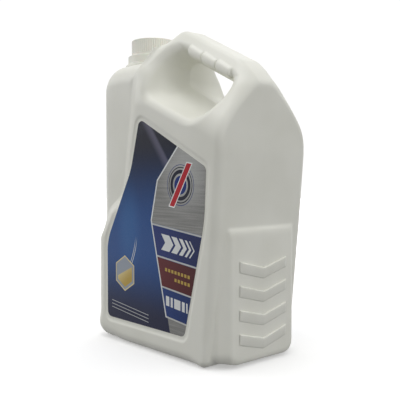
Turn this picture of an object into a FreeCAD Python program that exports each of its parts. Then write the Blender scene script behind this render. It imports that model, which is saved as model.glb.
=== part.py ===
import FreeCAD, Part
import math
import os

# A five litre motor oil bottle: a blown bottle with a handle, its screw cap, the tamper band,
# the wad in the cap, the foil over the mouth, the oil inside and a label on each face.
# Frame: origin at the middle of the base, +Z up, the neck towards -X, the grip pad towards +X,
# the front label on the -Y face. Sizes are in millimetres and degrees.

V = FreeCAD.Vector

doc = FreeCAD.newDocument("MotorOilBottle")
sheet = doc.addObject("Spreadsheet::Sheet", "Sizes")

SIZES = [
    # Body
    ("body_length", 196.0, "end to end, along X"),
    ("body_thickness", 116.0, "face to face, along Y"),
    ("shoulder_height", 285.5, "top of the shoulder that carries the neck"),
    ("wall", 1.4, "thickness of the blown wall"),
    ("heel_neck_end", 18.0, "heel radius below the neck"),
    ("heel_pad_end", 5.0, "heel radius below the grip pad"),
    ("heel_face", 8.0, "heel radius along both faces"),
    ("end_corner", 15.0, "upright corner radius at the pad end"),
    ("foot_corner", 18.0, "upright corner radius at the neck end, low down"),
    # Handle
    ("bar_slope", 26.5, "fall of the handle bar towards the pad end, in degrees"),
    ("bar_rise", 29.8, "bar's top line above the shoulder, at the middle of the body"),
    ("bar_flat", 26.0, "width of the bar's crown before rounding"),
    ("crown_radius", 9.0, "rounding of the bar's crown"),
    ("arch_drop", 50.5, "depth below the bar where the slab is full thickness"),
    ("arch_radius", 32.0, "rounding where the arch meets the faces"),
    ("leg_inset", 68.0, "from the neck end to the foot of the handle's front leg"),
    ("leg_slope", 53.0, "rise of the front leg, in degrees"),
    ("leg_corner", 16.0, "radius from the front leg to the bar"),
    ("leg_foot_radius", 8.0, "radius from the shoulder to the front leg"),
    ("rear_corner", 20.0, "radius from the bar to the pad end"),
    # Handle gap
    ("leg_width", 23.4, "from the front leg's foot to the gap in the middle plane"),
    ("gap_length", 80.0, "length of the gap along X in the middle plane"),
    ("bar_depth", 28.0, "height of the bar, top line to gap, in the middle plane"),
    ("gap_depth", 30.0, "height of the gap in the middle plane"),
    ("gap_rear_lean", 20.0, "how far the gap's rear edge leans towards the pad end"),
    ("gap_radius", 12.0, "corner radius of the gap in the middle plane"),
    ("flare_front", 13.0, "how far the gap flares towards the neck at the faces"),
    ("flare_rear", 22.0, "how far the gap flares towards the pad end at the faces"),
    ("flare_down", 19.5, "how far the gap flares downwards at the faces"),
    ("flare_up", 35.0, "how far the gap flares upwards at the faces"),
    ("flare_radius", 16.0, "corner radius of the gap at the faces"),
    # Finger grips under the bar
    ("grip_first", 22.0, "start of the first grip, along the bar from the middle of the body"),
    ("grip_pitch", 18.0, "spacing of the grips along the bar"),
    ("grip_length", 16.0, "length of a grip"),
    ("grip_radius", 6.8, "radius of a grip at its proud end"),
    ("grip_end_radius", 5.2, "radius of a grip at its flush end"),
    ("grip_depth", 13.5, "axis of the grips below the top of the bar"),
    ("grip_spread", 19.5, "axis of the grips from the middle plane"),
    # Column below the neck
    ("column_thickness", 102.0, "thickness of the column, along Y"),
    ("column_corner", 22.0, "upright corner radius of the column"),
    ("shoulder_end_radius", 28.0, "shoulder rounding at the neck end"),
    ("shoulder_face_radius", 22.0, "shoulder rounding along both faces"),
    ("crease_slope", 8.0, "how far the step between slab and column runs out"),
    ("crease_margin", 12.0, "from the step to the label"),
    ("crease_foot", 110.0, "height where the step reaches the neck end"),
    ("crease_ramp", 27.0, "height of the slanted stretch at the foot of the step"),
    ("crease_knee", 150.0, "height where the step turns up along the label"),
    # Grip pad
    ("pad_inset", 2.0, "pad face behind the upper end face"),
    ("slab_foot_inset", 18.0, "slab behind the pad, at the base, from the upper end face"),
    ("waist_inset", 5.5, "hollow above the pad, from the upper end face"),
    ("ledge_height", 123.5, "top of the pad"),
    ("ledge_drop", 12.0, "from the top of the pad to its full depth"),
    ("ledge_radius", 22.0, "rounding of the pad's top"),
    ("belly_height", 190.0, "where the upper end face stands out most"),
    ("pad_half_width", 39.8, "half width of the pad's flat"),
    ("pad_edge_radius", 8.0, "rounding of the pad's upright edges"),
    ("flank_bevel", 8.9, "width and depth of the bevel beside the flat"),
    ("flank_angle", 25.0, "turn of the flank behind the bevel, in degrees"),
    ("chevron_rise", 1.0, "how proud the chevron bars stand"),
    ("chevron_top", 95.0, "top of the highest chevron bar's arms"),
    ("chevron_pitch", 21.5, "spacing of the chevron bars"),
    ("chevron_bar", 9.5, "height of a chevron bar"),
    ("chevron_dip", 7.5, "how far the middle of a chevron bar dips"),
    ("chevron_half_width", 30.7, "half width of a chevron bar"),
    # Label panels
    ("panel_recess", 1.0, "depth of the panel that takes a label"),
    ("panel_margin", 4.5, "bare rim of the panel around a label"),
    ("label_thickness", 0.25, "film label with its adhesive"),
    ("label_foot", 24.0, "lower edge of the labels"),
    ("label_neck_margin", 26.0, "from the neck end to the labels' lower part"),
    ("label_pad_margin", 17.5, "from the pad end to the labels' upper corner"),
    ("label_heel_margin", 47.0, "from the pad end to the labels' lower corner"),
    ("label_top", 226.0, "upper corner of the labels, neck side"),
    ("label_top_inset", 82.0, "from the neck end to the labels' upper corner"),
    ("label_waist", 176.0, "height where the S-shaped edge turns upright"),
    ("label_waist_inset", 68.0, "from the neck end to that turn"),
    ("label_hip", 103.0, "height where the S-shaped edge leaves the lower part"),
    ("label_belly", 130.0, "height where the pad side edge bends"),
    ("label_belly_margin", 20.0, "from the pad end to that bend"),
    ("label_corner", 6.0, "corner radius of the labels"),
    # Neck
    ("neck_inset", 31.0, "from the neck end to the neck's axis"),
    ("neck_root_radius", 25.0, "neck below the flange"),
    ("flange_radius", 30.0, "flange above the shoulder"),
    ("flange_thickness", 3.0, "flange, along Z"),
    ("flange_rise", 0.4, "lower side of the flange above the shoulder"),
    ("neck_radius", 19.4, "neck at the thread's root"),
    ("neck_bore", 17.2, "radius of the mouth"),
    ("neck_height", 26.7, "the mouth's rim above the shoulder"),
    ("bead_radius", 21.0, "bead that holds the tamper band"),
    ("bead_height", 1.5, "bead, along Z"),
    ("thread_pitch", 4.5, "rise of the thread in one turn"),
    ("thread_turns", 1.5, "turns of thread on the neck and in the cap"),
    ("thread_depth", 1.3, "thread, root to crest"),
    ("thread_width", 1.6, "thread at its root, along Z"),
    ("thread_drop", 10.5, "lower end of the neck's thread below the rim"),
    # Closure
    ("band_radius", 27.6, "tamper band, outside"),
    ("band_height", 9.3, "tamper band, along Z"),
    ("band_wall", 1.8, "wall of the tamper band"),
    ("cap_radius", 23.6, "screw cap over its ribs"),
    ("cap_height", 16.9, "screw cap, along Z"),
    ("cap_crown", 1.8, "thickness of the cap's top"),
    ("cap_ribs", 60, "grip ribs around the cap"),
    ("rib_depth", 0.6, "depth of the grooves between ribs"),
    ("cap_bore", 21.6, "radius inside the cap"),
    ("wad_thickness", 1.2, "sealing wad in the cap"),
    ("foil_thickness", 0.2, "foil seal on the mouth"),
    ("seat_gap", 0.2, "clearance between parts that rest on each other"),
    ("running_gap", 0.3, "clearance around parts that turn or slide"),
    # Contents
    ("fill_height", 259.5, "surface of the oil above the base"),
    ("oil_gap", 0.3, "clearance between the oil and the wall"),
]

for row, (alias, value, note) in enumerate(SIZES, start=1):
    sheet.set(f"A{row}", alias)
    sheet.set(f"B{row}", str(value))
    sheet.set(f"C{row}", note)
    sheet.setAlias(f"B{row}", alias)
doc.recompute()


def size(alias):
    """The number in the sheet's cell with this alias."""
    return float(sheet.get(alias))


# Driving lines shared by several pieces
HALF_LENGTH = size("body_length") / 2
HALF_THICKNESS = size("body_thickness") / 2
HALF_COLUMN = size("column_thickness") / 2
SLOPE = math.tan(math.radians(size("bar_slope")))
SLOPE_COS = math.cos(math.radians(size("bar_slope")))
SHOULDER = size("shoulder_height")
BAR_HEIGHT = SHOULDER + size("bar_rise")
LEG_FOOT = -HALF_LENGTH + size("leg_inset")
GAP_FRONT = LEG_FOOT + size("leg_width")
NECK_X = -HALF_LENGTH + size("neck_inset")
MOUTH = SHOULDER + size("neck_height")
THREAD_START = MOUTH - size("thread_drop")
PAD_FACE = HALF_LENGTH - size("pad_inset")
WAIST = HALF_LENGTH - size("waist_inset")
SLAB_FOOT = HALF_LENGTH - size("slab_foot_inset")
LEDGE = size("ledge_height")
BELLY = size("belly_height")
OUTSIDE = 40.0
END_LEAN = 1.5
REACH = size("body_length") + BAR_HEIGHT
FACE_PLANE = HALF_THICKNESS + 4.0
FLANGE_BOTTOM = SHOULDER + size("flange_rise")
FLANGE_TOP = FLANGE_BOTTOM + size("flange_thickness")
BAND_BOTTOM = FLANGE_TOP + size("seat_gap")
BAND_TOP = BAND_BOTTOM + size("band_height")
FOIL_TOP = MOUTH + size("foil_thickness")
WAD_BOTTOM = FOIL_TOP + size("seat_gap")
WAD_TOP = WAD_BOTTOM + size("wad_thickness")
CAP_TOP = WAD_TOP + size("seat_gap") / 2 + size("cap_crown")
CAP_BOTTOM = CAP_TOP - size("cap_height")


def bar_line(x, depth=0.0):
    """Height at x of the line that lies depth below the top of the handle bar."""
    return BAR_HEIGHT - SLOPE * x - depth


# Planes: outlines are drawn in X and Y of their own plane and then turned into place
PLAN = FreeCAD.Rotation()
SIDE = FreeCAD.Rotation(V(1, 0, 0), 90)
ACROSS = FreeCAD.Rotation(V(0, 1, 0), V(0, 0, 1), V(1, 0, 0), "ZXY")
ALONG_BAR = FreeCAD.Rotation(V(0, 1, 0), size("bar_slope")).multiply(ACROSS)


def rounded_wire(corners, grow=0.0):
    """Closed outline through corners (u, v, radius), grown outwards or, if negative, inwards."""
    count = len(corners)
    arcs = []
    for index, (u, v, radius) in enumerate(corners):
        corner = V(u, v, 0)
        back = V(*corners[index - 1][:2], 0) - corner
        ahead = V(*corners[(index + 1) % count][:2], 0) - corner
        back.normalize()
        ahead.normalize()
        half = back.getAngle(ahead) / 2
        if radius == 0 or math.pi / 2 - half < 1e-4:
            arcs.append((corner, None, corner))
            continue
        run = radius / math.tan(half)
        inward = (back + ahead).normalize()
        middle = corner + inward * (radius / math.sin(half) - radius)
        arcs.append((corner + back * run, middle, corner + ahead * run))
    edges = []
    for index, (start, middle, end) in enumerate(arcs):
        if middle:
            edges.append(Part.Arc(start, middle, end).toShape())
        following = arcs[(index + 1) % count][0]
        if end.distanceToPoint(following) > 1e-6:
            edges.append(Part.LineSegment(end, following).toShape())
    wire = Part.Wire(edges)
    if grow:
        wire = wire.makeOffset2D(grow)
    return wire


def outline(name, corners, rotation, grow=0.0, base=V(0, 0, 0)):
    """A rounded outline, placed in its plane, as an object of the document."""
    profile = doc.addObject("Part::Feature", name)
    profile.Shape = rounded_wire(corners, grow)
    profile.Placement = FreeCAD.Placement(base, rotation)
    return profile


def extruded(name, profile, direction, forward, backward="0"):
    """The solid that an outline sweeps, its two lengths given as formulas of the sheet."""
    solid = doc.addObject("Part::Extrusion", name)
    solid.Base = profile
    solid.DirMode = "Custom"
    solid.Dir = direction
    solid.Solid = True
    solid.setExpression("LengthFwd", forward)
    solid.setExpression("LengthRev", backward)
    return solid


def combined(kind, name, shapes):
    """The common part or the union of several solids."""
    result = doc.addObject(kind, name)
    result.Shapes = shapes
    result.Refine = True
    return result


def cut(name, base, tool):
    """The base with the tool's volume taken away."""
    result = doc.addObject("Part::Cut", name)
    result.Base = base
    result.Tool = tool
    result.Refine = True
    return result


def cylinder(name, radius, bottom, height):
    """An upright cylinder on the neck's axis, sized by formulas of the sheet."""
    solid = doc.addObject("Part::Cylinder", name)
    solid.setExpression("Radius", radius)
    solid.setExpression("Height", height)
    solid.setExpression("Placement.Base.x", "-Sizes.body_length / 2 + Sizes.neck_inset")
    solid.setExpression("Placement.Base.z", bottom)
    return solid


def mirrored(name, source):
    """The same solid on the other face of the bottle."""
    copy = doc.addObject("Part::Mirroring", name)
    copy.Source = source
    copy.Normal = V(0, 1, 0)
    return copy


# Outlines of the body
def side_corners():
    """The slab seen from the front: base, bar, front leg and shoulder, just past the end's own form."""
    leg_tan = math.tan(math.radians(size("leg_slope")))
    leg_top = LEG_FOOT + (bar_line(LEG_FOOT) - SHOULDER) / (leg_tan + SLOPE)
    return [
        (-HALF_LENGTH, 0, size("heel_neck_end")),
        (HALF_LENGTH + END_LEAN, 0, 0),
        (HALF_LENGTH, bar_line(HALF_LENGTH), size("rear_corner")),
        (leg_top, bar_line(leg_top), size("leg_corner")),
        (LEG_FOOT, SHOULDER, size("leg_foot_radius")),
        (-HALF_LENGTH, SHOULDER, size("shoulder_end_radius")),
    ]


def arch_corners():
    """Section of the slab across the handle bar: the bar's crown on two slanted sides."""
    crown = size("bar_flat") / 2
    drop = size("arch_drop")
    return [
        (-HALF_THICKNESS, -REACH, 0),
        (HALF_THICKNESS, -REACH, 0),
        (HALF_THICKNESS, -drop, size("arch_radius")),
        (crown, 0, size("crown_radius")),
        (-crown, 0, size("crown_radius")),
        (-HALF_THICKNESS, -drop, size("arch_radius")),
    ]


def plan_corners(half_thickness, neck_corner, pad_corner, pad_end, inset):
    """The body seen from above, with its upright corners rounded and its skin moved inwards by inset."""
    corners = [
        (-HALF_LENGTH + inset, -1, neck_corner),
        (pad_end - inset, -1, pad_corner),
        (pad_end - inset, 1, pad_corner),
        (-HALF_LENGTH + inset, 1, neck_corner),
    ]
    return [(x, facing * (half_thickness - inset), max(radius - inset, 0)) for x, facing, radius in corners]


def pad_plan_corners():
    """The pad seen from above: its flat, a bevel on each side and the flanks behind them."""
    bevel = size("flank_bevel")
    half = size("pad_half_width")
    edge = size("pad_edge_radius")
    flank = (HALF_THICKNESS - half - bevel) / math.tan(math.radians(size("flank_angle")))
    half_line = [
        (0, HALF_THICKNESS, 0),
        (PAD_FACE - bevel - flank, HALF_THICKNESS, edge),
        (PAD_FACE - bevel, half + bevel, edge),
        (PAD_FACE, half, edge),
    ]
    return [(x, -y, radius) for x, y, radius in half_line] + half_line[::-1]


def pad_side_corners():
    """The pad seen from the front: its flat and the rounded top that runs into the slab."""
    drop = size("ledge_drop")
    depth = PAD_FACE - WAIST
    return [
        (0, 0, 0),
        (PAD_FACE, 0, size("heel_pad_end")),
        (PAD_FACE, LEDGE - drop / 2, size("ledge_radius")),
        (PAD_FACE - 3 * depth, LEDGE + drop, 0),
        (0, LEDGE + drop, 0),
    ]


def section_corners(half_thickness, top, top_radius, heel):
    """A section across the body, with a rounded heel and rounded top edges."""
    return [
        (-half_thickness, 0, heel),
        (half_thickness, 0, heel),
        (half_thickness, top, top_radius),
        (-half_thickness, top, top_radius),
    ]


def crease_corners():
    """Region of the side view where the slab gives way to the column below the neck."""
    hip, waist, top_left = label_corners()[2], label_corners()[1], label_corners()[0]
    margin = size("crease_margin")
    foot = size("crease_foot")
    ramp = size("crease_ramp")
    left = -HALF_LENGTH - OUTSIDE
    top = BAR_HEIGHT + OUTSIDE
    return [
        (left, foot, 0),
        (hip[0] - margin, foot, ramp * 0.6),
        (hip[0] - margin + ramp * 0.67, foot + ramp, ramp * 0.6),
        (waist[0] - margin, size("crease_knee"), ramp * 0.8),
        (top_left[0] - margin, top_left[1] + margin, 3 * ramp),
        (top_left[0], top, 0),
        (left, top, 0),
    ]


def gap_corners(down, up, front, rear, radius):
    """The handle gap, parallel to the bar, pushed outwards on each side by the given flares."""
    left = GAP_FRONT
    right = left + size("gap_length")
    roof = size("bar_depth")
    floor = roof + size("gap_depth")
    lean = size("gap_rear_lean")
    return [
        (left - front * 0.3, bar_line(left, floor) - down, radius),
        (right - lean + 0.6 * rear, bar_line(right - lean, floor) - down, radius),
        (right + 1.6 * rear, bar_line(right + 1.6 * rear, roof) + up, radius),
        (left - front, bar_line(left - front, roof) + up, radius),
    ]


def label_corners():
    """The label: upright at the pad end, an S-shaped edge below the neck, a slanted top."""
    neck_end = -HALF_LENGTH
    foot = size("label_foot")
    corner = size("label_corner")
    top_left = neck_end + size("label_top_inset")
    top_right = HALF_LENGTH - size("label_pad_margin")
    hip = size("label_hip")
    waist = size("label_waist")
    return [
        (top_left, size("label_top"), corner),
        (neck_end + size("label_waist_inset"), waist, waist - hip),
        (neck_end + size("label_neck_margin"), hip, (waist - hip) * 0.6),
        (neck_end + size("label_neck_margin"), foot, corner),
        (HALF_LENGTH - size("label_heel_margin"), foot, corner),
        (HALF_LENGTH - size("label_belly_margin"), size("label_belly"), 2 * (waist - hip)),
        (top_right, size("label_top") - SLOPE * (top_right - top_left), corner),
    ]


# The body's form, used for the outer skin, the hollow inside and the oil
def slab_form(prefix, inset):
    """The thick slab with the handle, its skin moved inwards by inset."""
    side = extruded(prefix + "_side", outline(prefix + "_side_line", side_corners(), SIDE, -inset),
                    V(0, 1, 0), "Sizes.body_thickness", "Sizes.body_thickness")
    arch = extruded(prefix + "_arch", outline(prefix + "_arch_line", arch_corners(), ALONG_BAR, -inset,
                                              V(0, 0, BAR_HEIGHT)),
                    V(SLOPE_COS, 0, -SLOPE * SLOPE_COS), "Sizes.body_length * 2", "Sizes.body_length * 2")
    plan = doc.addObject("Part::Loft", prefix + "_plan")
    plan.Sections = [
        outline(f"{prefix}_plan_{level:.0f}",
                plan_corners(HALF_THICKNESS, size("foot_corner"), size("end_corner"), pad_end, inset),
                PLAN, 0, V(0, 0, level))
        for level, pad_end in [(0, SLAB_FOOT), (LEDGE, WAIST), (BELLY, HALF_LENGTH), (REACH, HALF_LENGTH)]
    ]
    plan.Solid = True
    plan.Ruled = True
    across = across_form(prefix + "_across", HALF_THICKNESS, 2 * BAR_HEIGHT, 0, size("heel_face"), inset)
    return combined("Part::MultiCommon", prefix + "_slab", [side, plan, arch, across])


def across_form(name, half_thickness, top, top_radius, heel, inset):
    """A section across the body, swept over its whole length, its skin moved inwards by inset."""
    profile = outline(name + "_line", section_corners(half_thickness, top, top_radius, heel), ACROSS, -inset)
    return extruded(name, profile, V(1, 0, 0), "Sizes.body_length", "Sizes.body_length")


def pad_form(prefix, inset):
    """The grip pad's block on the end of the slab, its skin moved inwards by inset."""
    side_line = outline(prefix + "_pad_side_line", pad_side_corners(), SIDE, -inset)
    side = extruded(prefix + "_pad_side", side_line, V(0, 1, 0),
                    "Sizes.body_thickness", "Sizes.body_thickness")
    plan_line = outline(prefix + "_pad_plan_line", pad_plan_corners(), PLAN, -inset)
    plan = extruded(prefix + "_pad_plan", plan_line, V(0, 0, 1), "Sizes.ledge_height * 2")
    across = across_form(prefix + "_pad_across", HALF_THICKNESS, 2 * BAR_HEIGHT, 0, size("heel_face"), inset)
    return combined("Part::MultiCommon", prefix + "_pad", [side, plan, across])


def crease_tool(prefix, inset):
    """What the slab loses below the neck, with a slanted step on each face."""
    level = HALF_COLUMN - inset
    run = size("crease_slope")
    step = HALF_THICKNESS - HALF_COLUMN
    middle = outline(prefix + "_crease_line", crease_corners(), SIDE, inset, V(-run, -level, 0))
    core = extruded(prefix + "_crease_core", middle, V(0, 1, 0), f"{2 * level}")
    side_line = outline(prefix + "_crease_side_line", crease_corners(), SIDE, inset, V(-run, -level, 0))
    slant = V(run, -step, 0)
    front = extruded(prefix + "_crease_front", side_line, slant, f"{1.5 * slant.Length}")
    back = mirrored(prefix + "_crease_back", front)
    return combined("Part::MultiFuse", prefix + "_crease", [core, front, back])


def column_form(prefix, inset):
    """The slimmer column below the neck, its skin moved inwards by inset."""
    side = extruded(prefix + "_column_side",
                    outline(prefix + "_column_side_line",
                            [(-HALF_LENGTH, size("heel_neck_end"), 0),
                             (LEG_FOOT, size("heel_neck_end"), 0),
                             (LEG_FOOT, SHOULDER, 0),
                             (-HALF_LENGTH, SHOULDER, size("shoulder_end_radius"))],
                            SIDE, -inset),
                    V(0, 1, 0), "Sizes.body_thickness", "Sizes.body_thickness")
    across = across_form(prefix + "_column_across", HALF_COLUMN, SHOULDER, size("shoulder_face_radius"), 0,
                         inset)
    plan = extruded(prefix + "_column_plan",
                    outline(prefix + "_column_plan_line",
                            plan_corners(HALF_COLUMN, size("column_corner"), 0, HALF_LENGTH, inset), PLAN),
                    V(0, 0, 1), "Sizes.shoulder_height * 2")
    return combined("Part::MultiCommon", prefix + "_column", [side, across, plan])


def gap_tool(prefix, inset):
    """The handle gap: two funnels that meet in the middle plane, larger by inset."""
    middle = outline(prefix + "_gap_middle", gap_corners(0, 0, 0, 0, size("gap_radius")), SIDE, inset)
    mouth_line = gap_corners(size("flare_down"), size("flare_up"), size("flare_front"),
                             size("flare_rear"), size("flare_radius"))
    mouth = outline(prefix + "_gap_mouth", mouth_line, SIDE, inset, V(0, -FACE_PLANE, 0))
    funnel = doc.addObject("Part::Loft", prefix + "_gap_front")
    funnel.Sections = [middle, mouth]
    funnel.Solid = True
    funnel.Ruled = True
    other = mirrored(prefix + "_gap_back", funnel)
    return combined("Part::MultiFuse", prefix + "_gap", [funnel, other])


def panel_tool(prefix, inset):
    """The shallow recesses that take the labels, one on each face."""
    panel = outline(prefix + "_panel_line", label_corners(), SIDE, size("panel_margin") + inset,
                    V(0, -HALF_THICKNESS + size("panel_recess") + inset, 0))
    front = extruded(prefix + "_panel_front", panel, V(0, -1, 0), "Sizes.body_thickness")
    back = mirrored(prefix + "_panel_back", front)
    return combined("Part::MultiFuse", prefix + "_panels", [front, back])


def body_form(prefix, inset):
    """The whole blown body without its neck, its skin moved inwards by inset."""
    slab = cut(prefix + "_slab_creased", slab_form(prefix, inset), crease_tool(prefix, inset))
    body = combined("Part::MultiFuse", prefix + "_body",
                    [slab, column_form(prefix, inset), pad_form(prefix, inset)])
    with_gap = cut(prefix + "_with_gap", body, gap_tool(prefix, inset))
    return cut(prefix + "_form", with_gap, panel_tool(prefix, inset))


# Raised details of the bottle
def chevron(index):
    """One raised bar of the grip pad, dipping in the middle."""
    top = size("chevron_top") - index * size("chevron_pitch")
    half = size("chevron_half_width")
    dip = size("chevron_dip")
    bar = size("chevron_bar")
    corners = [
        (-half, top, 1),
        (-half, top - bar, 1),
        (0, top - bar - dip, 1),
        (half, top - bar, 1),
        (half, top, 1),
        (0, top - dip, 1),
    ]
    profile = outline(f"chevron_line_{index}", corners, ACROSS, 0, V(PAD_FACE, 0, 0))
    return extruded(f"chevron_{index}", profile, V(1, 0, 0), "Sizes.chevron_rise", "Sizes.wall / 2")


def grip(index, facing):
    """One finger grip under the bar, proud at its neck end and flush at the other."""
    start = size("grip_first") + index * size("grip_pitch")
    foot = start * SLOPE_COS
    name = f"grip_{index}_{'front' if facing < 0 else 'back'}"
    solid = doc.addObject("Part::Cone", name)
    solid.setExpression("Radius1", "Sizes.grip_radius")
    solid.setExpression("Radius2", "Sizes.grip_end_radius")
    solid.setExpression("Height", "Sizes.grip_length")
    place = V(foot, facing * size("grip_spread"), bar_line(foot, size("grip_depth") / SLOPE_COS))
    along_bar = FreeCAD.Rotation(V(0, 0, 1), V(SLOPE_COS, 0, -SLOPE * SLOPE_COS))
    solid.Placement = FreeCAD.Placement(place, along_bar)
    return solid


def thread(name, radius, start, outward):
    """A helical ridge of trapezoid section on the neck's axis."""
    helix = doc.addObject("Part::Helix", name + "_helix")
    helix.setExpression("Pitch", "Sizes.thread_pitch")
    helix.setExpression("Height", "Sizes.thread_pitch * Sizes.thread_turns")
    helix.Radius = radius
    helix.Placement = FreeCAD.Placement(V(NECK_X, 0, start), FreeCAD.Rotation())
    root = size("thread_width") / 2
    depth = size("thread_depth") * outward
    bite = 0.3 * outward
    profile = doc.addObject("Part::Feature", name + "_section")
    profile.Shape = Part.makePolygon([
        V(radius - bite, 0, -root),
        V(radius + depth, 0, -root / 2),
        V(radius + depth, 0, root / 2),
        V(radius - bite, 0, root),
        V(radius - bite, 0, -root),
    ])
    profile.Placement = helix.Placement
    ridge = doc.addObject("Part::Sweep", name + "_ridge")
    ridge.Sections = [profile]
    ridge.Spine = (helix, ["Edge1"])
    ridge.Solid = True
    ridge.Frenet = True
    return ridge


def make_bottle():
    """The blown bottle: skin, hollow, neck with flange, bead and thread, chevrons and finger grips."""
    skin = body_form("outer", 0.0)
    hollow = body_form("hollow", size("wall"))
    root = cylinder("neck_root", "Sizes.neck_root_radius",
                    "Sizes.shoulder_height - Sizes.shoulder_end_radius / 3",
                    "Sizes.shoulder_end_radius / 3 + Sizes.flange_rise + Sizes.flange_thickness")
    flange = cylinder("neck_flange", "Sizes.flange_radius", "Sizes.shoulder_height + Sizes.flange_rise",
                      "Sizes.flange_thickness")
    tube = cylinder("neck_tube", "Sizes.neck_radius", "Sizes.shoulder_height - Sizes.wall",
                    "Sizes.neck_height + Sizes.wall")
    bead = cylinder("neck_bead", "Sizes.bead_radius", f"{BAND_TOP + size('seat_gap')}", "Sizes.bead_height")
    ridge = thread("neck_thread", size("neck_radius"), THREAD_START, 1)
    details = [chevron(index) for index in range(4)]
    details += [grip(index, facing) for index in range(3) for facing in (-1, 1)]
    solid = combined("Part::MultiFuse", "bottle_solid", [skin, root, flange, tube, bead, ridge] + details)
    bore = cylinder("neck_bore_tool", "Sizes.neck_bore", "Sizes.shoulder_height - Sizes.shoulder_end_radius",
                    "Sizes.neck_height + 2 * Sizes.shoulder_end_radius")
    inside = combined("Part::MultiFuse", "inside", [hollow, bore])
    return cut("bottle", solid, inside)


def make_oil():
    """The oil, up to its level surface and just clear of the wall."""
    filled = body_form("oil", size("wall") + size("oil_gap"))
    below = doc.addObject("Part::Box", "oil_level")
    below.setExpression("Length", "Sizes.body_length")
    below.setExpression("Width", "Sizes.body_thickness")
    below.setExpression("Height", "Sizes.fill_height")
    below.setExpression("Placement.Base.x", "-Sizes.body_length / 2")
    below.setExpression("Placement.Base.y", "-Sizes.body_thickness / 2")
    return combined("Part::MultiCommon", "oil_fill", [filled, below])


def make_cap():
    """The screw cap: a ribbed skirt, a flat crown with an eased edge and an inside thread."""
    ribs = int(size("cap_ribs"))
    points = []
    for index in range(2 * ribs):
        angle = math.pi * index / ribs
        radius = size("cap_radius") - (size("rib_depth") if index % 2 else 0)
        points.append(V(radius * math.cos(angle), radius * math.sin(angle), 0))
    skirt_line = doc.addObject("Part::Feature", "cap_rib_line")
    skirt_line.Shape = Part.makePolygon(points + points[:1])
    skirt_line.Placement = FreeCAD.Placement(V(NECK_X, 0, CAP_BOTTOM), FreeCAD.Rotation())
    skirt = extruded("cap_skirt", skirt_line, V(0, 0, 1), "Sizes.cap_height")
    easing = doc.addObject("Part::Cone", "cap_easing")
    easing.setExpression("Radius1", "Sizes.cap_radius + Sizes.cap_height - Sizes.rib_depth")
    easing.setExpression("Radius2", "Sizes.cap_radius - Sizes.rib_depth * 1.5")
    easing.setExpression("Height", "Sizes.cap_height")
    easing.Placement = FreeCAD.Placement(V(NECK_X, 0, CAP_BOTTOM), FreeCAD.Rotation())
    eased = combined("Part::MultiCommon", "cap_eased", [skirt, easing])
    bore = cylinder("cap_bore_tool", "Sizes.cap_bore", f"{CAP_BOTTOM} - Sizes.cap_crown", "Sizes.cap_height")
    shell = cut("cap_shell", eased, bore)
    ridge = thread("cap_thread", size("cap_bore"), THREAD_START + size("thread_pitch") / 2, -1)
    return combined("Part::MultiFuse", "cap", [shell, ridge])


def make_band():
    """The tamper band that stays on the neck: an outer wall and a web under the bead."""
    wall = cylinder("band_outside", "Sizes.band_radius", f"{BAND_BOTTOM}", "Sizes.band_height")
    clearance = cylinder("band_bore", "Sizes.neck_radius + Sizes.running_gap", f"{BAND_BOTTOM}",
                         "Sizes.band_height")
    hollow = cylinder("band_hollow", "Sizes.band_radius - Sizes.band_wall", f"{BAND_BOTTOM}",
                      "Sizes.band_height - Sizes.band_wall")
    inside = combined("Part::MultiFuse", "band_inside", [clearance, hollow])
    return cut("tamper_band", wall, inside)


def make_label(name, facing):
    """A film label lying in its panel; facing is -1 for the front and 1 for the back."""
    face = HALF_THICKNESS - size("panel_recess")
    profile = outline(name + "_line", label_corners(), SIDE, 0, V(0, facing * face, 0))
    return extruded(name, profile, V(0, facing, 0), "Sizes.label_thickness")


def make_wad():
    """The sealing wad pressed into the cap's crown."""
    return cylinder("cap_liner", "Sizes.cap_bore - Sizes.running_gap", f"{WAD_BOTTOM}", "Sizes.wad_thickness")


def make_foil():
    """The foil bonded over the mouth."""
    return cylinder("foil_seal", "Sizes.neck_radius", "Sizes.shoulder_height + Sizes.neck_height",
                    "Sizes.foil_thickness")


PARTS = [
    make_bottle(),
    make_cap(),
    make_band(),
    make_wad(),
    make_foil(),
    make_label("front_label", -1),
    make_label("back_label", 1),
    make_oil(),
]
doc.recompute()

for item in doc.Objects:
    faults = [state for state in item.State if state in ("Invalid", "Error")]
    if faults:
        raise RuntimeError(f"{item.Name} failed: {faults}")

os.makedirs("parts", exist_ok=True)
for item in PARTS:
    item.Label = item.Name
    shape = item.Shape
    if shape.isNull() or not shape.isValid() or not shape.Solids:
        raise RuntimeError(f"{item.Name} has no valid solid")
    box = shape.optimalBoundingBox(False, False)
    print(f"{item.Label}: {len(shape.Solids)} solid, {shape.Volume / 1000:.1f} cm3, x {box.XMin:.2f} "
          f"{box.XMax:.2f}, y {box.YMin:.2f} {box.YMax:.2f}, z {box.ZMin:.2f} {box.ZMax:.2f}")
for item in PARTS:
    item.Shape.exportStep(os.path.join("parts", item.Label + ".step"))
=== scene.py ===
"""The looks of a five litre motor oil bottle: blown body, ribbed cap, tamper band and printed labels."""

from math import atan2, cos, pi, radians, sin, tan

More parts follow.
